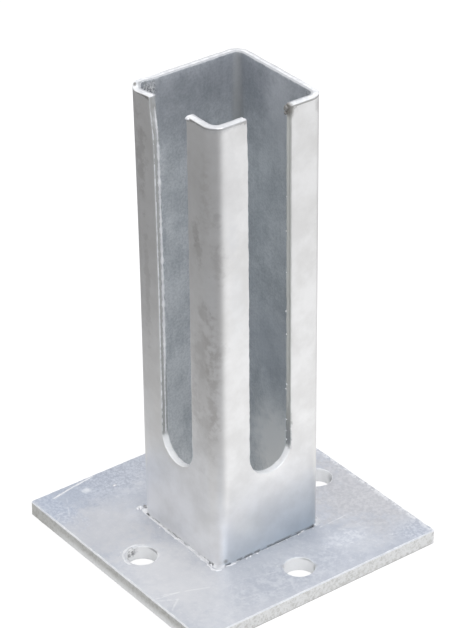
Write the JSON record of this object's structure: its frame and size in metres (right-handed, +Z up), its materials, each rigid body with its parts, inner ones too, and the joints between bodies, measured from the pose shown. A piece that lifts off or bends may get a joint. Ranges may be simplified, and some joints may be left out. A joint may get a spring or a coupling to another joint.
{
  "type": "fence post base plate",
  "caption": "Galvanised base plate with an upright square tube, slotted from the top in two neighbouring walls, that holds a hollow fence post on concrete.",
  "frame": {"origin": "middle of the plate's underside", "axes": "+Z up along the tube; the slotted walls face -Y and +X; the plate's sides lie along X and Y"},
  "size_m": [0.15, 0.15, 0.255],
  "materials": {
    "galvanised_steel": "hot-dip galvanised, satin with faint spangle",
    "galvanised_weld": "hot-dip galvanised over a rippled weld"
  },
  "bodies": {
    "root": {"base_plate": "galvanised_steel", "post_tube": "galvanised_steel", "weld_bead": "galvanised_weld"}
  },
  "joints": []
}
